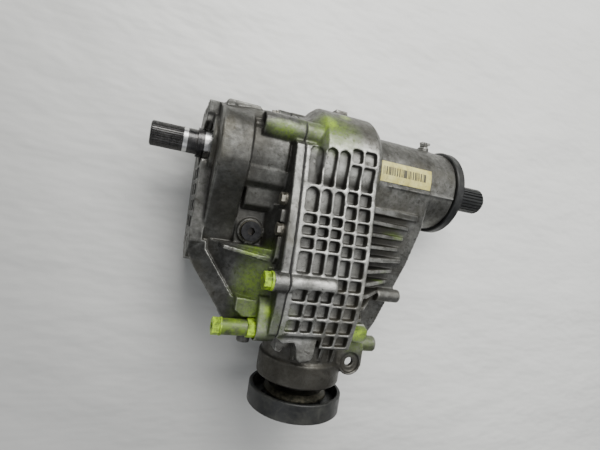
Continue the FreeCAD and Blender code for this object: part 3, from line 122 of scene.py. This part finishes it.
class Graph:
    """One material's node tree, with short calls for the nodes used here."""

    def __init__(self, name):
        self.material = bpy.data.materials.new(name)
        self.material.use_nodes = True
        self.tree = self.material.node_tree
        self.shader = self.tree.nodes["Principled BSDF"]
        # places are measured from the crossing point, as every CAD node's own origin is the frame's
        shift = self.node("ShaderNodeVectorMath", operation="SUBTRACT")
        self.join(self.node("ShaderNodeTexCoord").outputs["Object"], shift.inputs[0])
        shift.inputs[1].default_value = CROSS
        self.place = shift.outputs[0]

    def node(self, kind, **settings):
        made = self.tree.nodes.new(kind)
        for key, value in settings.items():
            setattr(made, key, value)
        return made

    def join(self, value, socket):
        """Sets a socket to a number or colour, or links another node's output to it."""
        if isinstance(value, bpy.types.NodeSocket):
            self.tree.links.new(value, socket)
        elif isinstance(value, tuple) and len(value) == 3 and len(socket.default_value) == 4:
            socket.default_value = (*value, 1)
        else:
            socket.default_value = value

    def feed(self, name, value):
        self.join(value, self.shader.inputs[name])

    def scaled(self, stretch):
        scale = self.node("ShaderNodeVectorMath", operation="MULTIPLY")
        self.join(self.place, scale.inputs[0])
        scale.inputs[1].default_value = stretch
        return scale.outputs[0]

    def noise(self, scale, detail=3.0, rough=0.5, stretch=None, warp=0.0):
        made = self.node("ShaderNodeTexNoise")
        self.join(self.scaled(stretch) if stretch else self.place, made.inputs["Vector"])
        made.inputs["Scale"].default_value = scale
        made.inputs["Detail"].default_value = detail
        made.inputs["Roughness"].default_value = rough
        made.inputs["Distortion"].default_value = warp
        return made.outputs["Fac"]

    def math(self, operation, a, b=0.0, clamp=False):
        made = self.node("ShaderNodeMath", operation=operation, use_clamp=clamp)
        self.join(a, made.inputs[0])
        self.join(b, made.inputs[1])
        return made.outputs[0]

    def span(self, value, low, high, new_low=0.0, new_high=1.0):
        """value from low..high is stretched to new_low..new_high, and held at both ends."""
        made = self.node("ShaderNodeMapRange", clamp=True)
        for socket, number in zip(made.inputs, (value, low, high, new_low, new_high)):
            self.join(number, socket)
        return made.outputs[0]

    def ramp(self, value, stops):
        made = self.node("ShaderNodeValToRGB")
        self.join(value, made.inputs[0])
        marks = made.color_ramp.elements
        while len(marks) < len(stops):
            marks.new(0.5)
        for mark, (place, colour) in zip(marks, stops):
            mark.position = place
            mark.color = (*colour, 1)
        return made.outputs["Color"]

    def mix(self, share, a, b, blend="MIX"):
        made = self.node("ShaderNodeMix", data_type="RGBA", blend_type=blend)
        self.join(share, made.inputs[0])
        self.join(a, made.inputs[6])
        self.join(b, made.inputs[7])
        return made.outputs[2]

    def axis(self, which, source=None):
        split = self.node("ShaderNodeSeparateXYZ")
        self.join(source or self.place, split.inputs[0])
        return split.outputs[which]

    def facing(self, which):
        """The surface normal's part along one axis, before bump."""
        coordinates = self.node("ShaderNodeTexCoord")
        return self.axis(which, coordinates.outputs["Normal"])

    def corner(self):
        """Above a half on outer edges and below it in inner corners, where the mesh is dense."""
        return self.node("ShaderNodeNewGeometry").outputs["Pointiness"]

    def open_sky(self, reach):
        """1 in the open and towards 0 in crevices, looking as far as reach."""
        made = self.node("ShaderNodeAmbientOcclusion", samples=6)
        made.inputs["Distance"].default_value = reach
        return made.outputs["AO"]

    def distance(self, places, ragged):
        """How far outside the nearest place, each (centre, radii), with 1 on its edge and a ragged outline."""
        nearest = None
        for centre, radii in places:
            shift = self.node("ShaderNodeVectorMath", operation="SUBTRACT")
            self.join(self.place, shift.inputs[0])
            shift.inputs[1].default_value = centre
            shrink = self.node("ShaderNodeVectorMath", operation="DIVIDE")
            self.join(shift.outputs[0], shrink.inputs[0])
            shrink.inputs[1].default_value = radii
            size = self.node("ShaderNodeVectorMath", operation="LENGTH")
            self.join(shrink.outputs[0], size.inputs[0])
            distance = size.outputs["Value"]
            nearest = distance if nearest is None else self.math("MINIMUM", nearest, distance)
        edge = self.math("MULTIPLY", self.math("SUBTRACT", self.noise(85, 5, 0.65), 0.5), ragged)
        return self.math("ADD", nearest, edge)

    def sprayed(self):
        """Cover by marking paint: thick in droplets on its places, and a thin film round them."""
        full = self.span(self.distance(PAINT_PLACES, 1.6), 1.15, 0.35)
        droplets = self.span(self.noise(170, 5, 0.75, warp=0.4), 0.36, 0.56, 0.05, 0.8)
        full = self.math("MULTIPLY", full, droplets)
        film = self.span(self.distance(MIST_PLACES, 0.7), 1.3, 0.25)
        film = self.math("MULTIPLY", film, self.span(self.noise(330, 4, 0.7), 0.34, 0.6, 0.25, 0.95))
        return full, film

    def bump(self, *layers, normal=None):
        """Each layer is (height, strength, depth), on top of the given normal."""
        for height, strength, depth in layers:
            made = self.node("ShaderNodeBump")
            made.inputs["Strength"].default_value = strength
            made.inputs["Distance"].default_value = depth
            self.join(height, made.inputs["Height"])
            if normal is not None:
                self.join(normal, made.inputs["Normal"])
            normal = made.outputs[0]
        self.feed("Normal", normal)

    def bump_on_round_edges(self, radius, *layers):
        """As bump, over a normal that softens each sharp edge by radius."""
        rounded = self.node("ShaderNodeBevel", samples=4)
        rounded.inputs["Radius"].default_value = radius
        self.bump(*layers, normal=rounded.outputs[0])


# Colours are linear, and places and radii are in metres from the crossing point.
# Worn bright metal, also used as painted highlight on the up-facing rib tops.
WORN_AND_HIGHLIGHT = (0.60, 0.60, 0.56)
# Dirt, also used as painted shade in crevices.
DIRT_AND_SHADE = (0.020, 0.018, 0.013)
SPECK = (0.030, 0.027, 0.020)
OIL = (0.075, 0.068, 0.046)
SHADE = (0.044, 0.040, 0.031)
# The tone of the painted shade on the cover.
PAINTED_SHADE_TONE = (0.044, 0.042, 0.036)
PAINT = (0.36, 0.56, 0.012)
HEAD_PAINT = (0.42, 0.66, 0.014)
SLEEVE_PAINT = (0.22, 0.34, 0.015)
PAINT_MIST = (0.13, 0.21, 0.010)
PAINT_PLACES = [
    ((-0.030, 0.046, 0.054), (0.010, 0.012, 0.012)),
    ((-0.006, 0.062, 0.042), (0.009, 0.007, 0.012)),
    ((-0.096, -0.1125, 0.055), (0.012, 0.005, 0.006)),
    ((0.052, -0.197, 0.047), (0.013, 0.010, 0.010)),
    ((-0.072, -0.176, 0.062), (0.006, 0.008, 0.006)),
]
MIST_PLACES = [
    ((-0.028, 0.036, 0.058), (0.034, 0.026, 0.026)),
    ((-0.082, 0.024, 0.060), (0.022, 0.010, 0.012)),
    ((-0.092, -0.150, 0.050), (0.022, 0.036, 0.024)),
    ((-0.078, -0.182, 0.055), (0.034, 0.026, 0.022)),
    ((-0.090, -0.108, 0.048), (0.026, 0.013, 0.016)),
    ((0.085, -0.072, 0.045), (0.016, 0.006, 0.010)),
    ((0.072, -0.126, 0.045), (0.014, 0.010, 0.012)),
    ((0.060, -0.205, 0.035), (0.026, 0.020, 0.022)),
    ((0.090, -0.222, 0.006), (0.014, 0.013, 0.013)),
]


# The cover is darkened by painted shade on its barrel, below it and round the filler plug.
PAINTED_SHADE_PLACES = [
    ((-0.120, -0.072, 0.030), (0.040, 0.028, 0.050)),
    ((-0.112, 0.000, 0.055), (0.022, 0.050, 0.030)),
]


def cast_alloy(name, dark, middle, light, wear_and_highlight_strength, darkening_amount, shades=(), shade_places=()):
    """Sand-cast aluminium: grain, mottling, worn bright edges, dirt and painted shade in its corners and
    sprayed paint marks.

    Each shade is (axis, from, to, strength): painted shade, a darkening of tone along an axis.
    Each place of painted shade is (centre, radii).
    """
    g = Graph(name)
    patches = g.noise(26, 4, 0.6, warp=0.6)
    mottle = g.noise(160, 4, 0.62)
    tone = g.math("ADD", g.math("MULTIPLY", patches, 0.55), g.math("MULTIPLY", mottle, 0.45))
    colour = g.ramp(tone, [(0.36, dark), (0.5, middle), (0.64, light)])
    # the worn edges are rubbed bright, and the up-facing tops of the ribs are lightened as wear and as painted
    # highlight
    on_ribs = g.math("MULTIPLY", g.span(g.axis("Z"), 0.060, 0.064), g.span(g.facing("Z"), 0.7, 0.95))
    on_ribs = g.math("MULTIPLY", on_ribs, g.span(g.noise(45, 5, 0.65), 0.38, 0.62, 0.2, 0.9))
    worn = g.math("MULTIPLY", g.span(g.corner(), 0.505, 0.55), g.span(g.noise(60, 4, 0.6), 0.38, 0.6))
    wear_and_highlight = g.math("MAXIMUM", worn, on_ribs)
    colour = g.mix(g.math("MULTIPLY", wear_and_highlight, wear_and_highlight_strength), colour, WORN_AND_HIGHLIGHT)
    # painted shade darkens the crevices, and dirt smears are added, where nothing rubs
    painted_crevice_shade = g.span(g.open_sky(0.018), 0.88, 0.42)
    smears = g.span(g.noise(38, 6, 0.7, warp=1.2), 0.55, 0.7)
    dirt_and_shade = g.math("MAXIMUM", g.math("MULTIPLY", painted_crevice_shade, 0.95), smears)
    dirt_and_shade = g.math("MULTIPLY", dirt_and_shade, darkening_amount)
    colour = g.mix(dirt_and_shade, colour, DIRT_AND_SHADE)
    specks = g.math("MULTIPLY", g.span(g.noise(130, 6, 0.75, warp=0.6), 0.56, 0.64), 0.7)
    colour = g.mix(specks, colour, SPECK)
    oil = g.math("MULTIPLY", g.span(g.noise(17, 5, 0.6, stretch=(1, 1, 0.6)), 0.52, 0.68), 0.5)
    colour = g.mix(oil, colour, OIL)
    # painted shade, darkening the tone along each given axis
    for which, start, stop, strength in shades:
        ragged = g.math("MULTIPLY", g.math("SUBTRACT", g.noise(30, 4, 0.6), 0.5), abs(stop - start))
        shade_share = g.span(g.math("ADD", g.axis(which), ragged), start, stop, 0.0, strength)
        colour = g.mix(shade_share, colour, SHADE)
    if shade_places:
        # painted shade round the given places
        colour = g.mix(g.span(g.distance(shade_places, 0.8), 1.3, 0.6, 0.0, 0.55), colour, PAINTED_SHADE_TONE)
    paint, mist = g.sprayed()
    colour = g.mix(mist, colour, PAINT_MIST)
    colour = g.mix(paint, colour, PAINT)
    g.feed("Base Color", colour)
    bare = g.math("SUBTRACT", 1.0, g.math("MAXIMUM", dirt_and_shade, g.math("MAXIMUM", paint, mist)))
    g.feed("Metallic", g.math("MULTIPLY", bare, 0.8))
    rough = g.span(mottle, 0.3, 0.7, 0.52, 0.34)
    g.feed("Roughness", g.math("SUBTRACT", rough, g.math("MULTIPLY", wear_and_highlight, 0.08)))
    g.bump((patches, 0.3, 0.0012), (g.noise(700, 3, 0.6), 0.6, 0.00035), (g.noise(2300, 2, 0.5), 0.4, 0.00015))
    return g.material


# Width over which a ground band begins and ends.
BAND_EDGE = 0.0006


def turned_steel(name, dark, light, rough, along, darkening_amount=0.3, bands=()):
    """Turned or ground steel with fine marks round its axis, darker, browner and less metallic in its corners.
    """
    g = Graph(name)
    stretch = [12.0, 12.0, 12.0]
    stretch[along] = 1600.0
    rings = g.noise(1.0, 3, 0.6, stretch=tuple(stretch))
    smear = g.noise(55, 4, 0.6, warp=0.8)
    tone = g.math("ADD", g.math("MULTIPLY", rings, 0.5), g.math("MULTIPLY", smear, 0.5))
    colour = g.mix(g.span(tone, 0.38, 0.62), dark, light)
    # bright ground bands, each (from, to) along X
    for start, stop in bands:
        band = g.math("MULTIPLY", g.span(g.axis("X"), start, start + BAND_EDGE),
                      g.span(g.axis("X"), stop, stop - BAND_EDGE))
        colour = g.mix(band, colour, (0.66, 0.66, 0.65))
    # darker, browner and less metallic where the occlusion mask finds corners
    darkened = g.math("MULTIPLY", g.span(g.open_sky(0.004), 0.8, 0.2), darkening_amount)
    colour = g.mix(darkened, colour, (0.045, 0.035, 0.022))
    g.feed("Base Color", colour)
    g.feed("Metallic", g.math("SUBTRACT", 1.0, darkened))
    g.feed("Roughness", g.span(smear, 0.3, 0.7, rough - 0.07, rough + 0.12))
    g.bump_on_round_edges(0.0004, (rings, 0.12, 0.00008), (smear, 0.08, 0.0002))
    return g.material


def coated_black(name):
    """Satin black coating with patches of dust, scuffs and softened edges."""
    g = Graph(name)
    scuff = g.noise(70, 6, 0.7, warp=1.5)
    colour = g.ramp(scuff, [(0.35, (0.007, 0.007, 0.008)), (0.55, (0.014, 0.015, 0.014)),
                            (0.72, (0.036, 0.036, 0.033))])
    dust = g.math("MULTIPLY", g.span(g.noise(32, 4, 0.6), 0.5, 0.68), 0.3)
    colour = g.mix(dust, colour, (0.09, 0.09, 0.075))
    g.feed("Base Color", colour)
    g.feed("Metallic", 0.0)
    g.feed("Roughness", g.span(scuff, 0.3, 0.7, 0.34, 0.55))
    g.bump_on_round_edges(0.0007, (g.noise(900, 3, 0.6), 0.18, 0.0002), (scuff, 0.15, 0.0004))
    return g.material


def plated(name, dark, light, paint=None, cover_from=0.33):
    """Zinc-plated fasteners, dulled and darkened in their corners, some under sprayed marking paint."""
    g = Graph(name)
    cloud = g.noise(240, 4, 0.6)
    colour = g.ramp(cloud, [(0.35, dark), (0.65, light)])
    # darker and browner where the occlusion mask finds corners
    darkened = g.math("MULTIPLY", g.span(g.open_sky(0.005), 0.8, 0.25), 0.75)
    colour = g.mix(darkened, colour, (0.05, 0.04, 0.025))
    if paint:
        film = g.span(g.noise(70, 5, 0.7), cover_from - 0.12, cover_from, 0.2, 0.9)
        full = g.span(g.noise(120, 5, 0.7), cover_from, cover_from + 0.13)
        colour = g.mix(film, colour, PAINT_MIST)
        colour = g.mix(full, colour, paint)
        g.feed("Metallic", g.math("MULTIPLY", g.math("SUBTRACT", 1.0, film), 0.7))
    else:
        g.feed("Metallic", g.math("SUBTRACT", 0.85, g.math("MULTIPLY", darkened, 0.8)))
    g.feed("Base Color", colour)
    g.feed("Roughness", g.span(cloud, 0.3, 0.7, 0.36, 0.58))
    g.bump_on_round_edges(0.0005, (g.noise(1300, 2, 0.5), 0.2, 0.0001))
    return g.material


def soft_black(name):
    """Rubber or pressed fibre, matt and a little dusty."""
    g = Graph(name)
    cloud = g.noise(180, 4, 0.6)
    g.feed("Base Color", g.ramp(cloud, [(0.35, (0.012, 0.012, 0.012)), (0.7, (0.05, 0.048, 0.045))]))
    g.feed("Roughness", g.span(cloud, 0.3, 0.7, 0.62, 0.8))
    g.bump_on_round_edges(0.0005, (g.noise(1200, 2, 0.5), 0.25, 0.0002))
    return g.material


def paper_label(name):
    """An aged pale-yellow label with generic bars, no lettering."""
    g = Graph(name)
    low, high = (Vector(end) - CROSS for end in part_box("barcode_label"))
    along = g.span(g.axis("X"), low.x, high.x)
    across = g.span(g.axis("Y"), low.y, high.y)
    stripes = g.node("ShaderNodeTexNoise", noise_dimensions="1D")
    g.join(g.math("MULTIPLY", along, 44.0), stripes.inputs["W"])
    stripes.inputs["Scale"].default_value = 1.0
    stripes.inputs["Detail"].default_value = 0.0
    bars = g.span(stripes.outputs["Fac"], 0.47, 0.48)

    def window(value, start, stop):
        return g.math("MULTIPLY", g.span(value, start, start + 0.01), g.span(value, stop, stop - 0.01))

    row = g.math("MULTIPLY", window(along, 0.03, 0.90), window(across, 0.34, 0.76))
    ink = g.math("MULTIPLY", row, bars)
    paper = g.ramp(g.noise(90, 4, 0.6), [(0.35, (0.54, 0.47, 0.12)), (0.65, (0.72, 0.67, 0.26))])
    colour = g.mix(g.math("MULTIPLY", ink, 0.92), paper, (0.03, 0.03, 0.03))
    darkened = g.math("MULTIPLY", g.span(g.noise(130, 6, 0.7, warp=1.0), 0.55, 0.68), 0.6)
    colour = g.mix(darkened, colour, (0.20, 0.16, 0.08))
    g.feed("Base Color", colour)
    g.feed("Roughness", g.span(g.noise(260, 2, 0.5), 0.3, 0.7, 0.42, 0.6))
    g.bump((g.noise(400, 3, 0.6), 0.15, 0.0002))
    return g.material


def make_materials():
    return {
        # the casing gets painted shade over its dome and tube tops, and towards the pinion snout painted shade
        # with dirt
        "casing_alloy": cast_alloy("casing_alloy", (0.062, 0.062, 0.056), (0.143, 0.143, 0.132),
                                   (0.24, 0.24, 0.224), 0.9, 0.85,
                                   shades=[("Y", -0.205, -0.24, 0.8), ("Y", 0.0, 0.04, 0.35)]),
        # the cover gets painted shade round its barrel and filler plug
        "cover_alloy": cast_alloy("cover_alloy", (0.045, 0.045, 0.041), (0.095, 0.095, 0.088),
                                  (0.17, 0.17, 0.158), 0.4, 0.85, shade_places=PAINTED_SHADE_PLACES),
        "gasket": soft_black("gasket"),
        "fastener": plated("fastener", (0.16, 0.15, 0.12), (0.36, 0.34, 0.29)),
        "marked_fastener": plated("marked_fastener", (0.16, 0.16, 0.10), (0.34, 0.33, 0.24), HEAD_PAINT, 0.42),
        "film": plated("film", (0.06, 0.065, 0.05), (0.14, 0.14, 0.11), SLEEVE_PAINT, 0.56),
        "bright_steel": turned_steel("bright_steel", (0.42, 0.42, 0.41), (0.66, 0.66, 0.64), 0.24, 0, 0.2),
        "plug_black": plated("plug_black", (0.010, 0.010, 0.011), (0.035, 0.035, 0.036)),
        "seal_metal": plated("seal_metal", (0.030, 0.030, 0.022), (0.085, 0.078, 0.056)),
        "label": paper_label("label"),
        "seal_rubber": soft_black("seal_rubber"),
        "gear_steel": turned_steel("gear_steel", (0.22, 0.22, 0.23), (0.42, 0.42, 0.43), 0.3, 0),
        "case_iron": cast_alloy("case_iron", (0.05, 0.05, 0.05), (0.11, 0.11, 0.11), (0.19, 0.19, 0.19),
                                0.3, 0.4),
        "shaft_steel": turned_steel("shaft_steel", (0.030, 0.030, 0.032), (0.11, 0.108, 0.105), 0.26, 0, 0.7,
                                    [(-0.1848, -0.1795), (-0.1615, -0.1540)]),
        "black_steel": coated_black("black_steel"),
        "bearing_steel": turned_steel("bearing_steel", (0.5, 0.5, 0.51), (0.68, 0.68, 0.69), 0.14, 0, 0.1),
        "cage_metal": plated("cage_metal", (0.28, 0.25, 0.19), (0.46, 0.43, 0.35)),
    }


# ---------------------------------------------------------------- CAD nodes


# The castings and the voxel size of their skin, which keeps the ribs' edges.
CASTINGS = {"main_casing": 0.0011, "side_cover": 0.0011}
# The sleeve carries only a thin film of the marking paint.
OWN_MATERIAL = {"spacer_sleeve": "film"}


def soften_casting(node, pitch):
    """Rounds every edge of a casting as sand casting does, by a fine remesh that is then smoothed."""
    remesh = node.modifiers.new("skin", "REMESH")
    remesh.mode = "VOXEL"
    remesh.voxel_size = pitch
    remesh.use_smooth_shade = True
    smooth = node.modifiers.new("cast_edges", "SMOOTH")
    smooth.factor = 0.5
    smooth.iterations = 3


def smooth_turned(node):
    """Joins the CAD faces' borders, and keeps only the real corners sharp."""
    weld = node.modifiers.new("weld", "WELD")
    weld.merge_threshold = 0.00002
    split = node.modifiers.new("corners", "EDGE_SPLIT")
    split.split_angle = 0.6
    for face in node.data.polygons:
        face.use_smooth = True


def dress_nodes(materials):
    slots = {part["node"]: part["material_slot"] for part in frame["record"]["subparts"]}
    for name, node in frame["nodes"].items():
        node.data.materials.clear()
        node.data.materials.append(materials[OWN_MATERIAL.get(name, slots[name])])
        if name in CASTINGS:
            soften_casting(node, CASTINGS[name])
        else:
            smooth_turned(node)


def main():
    make_camera()
    make_floor()
    make_lights()
    dress_nodes(make_materials())


main()
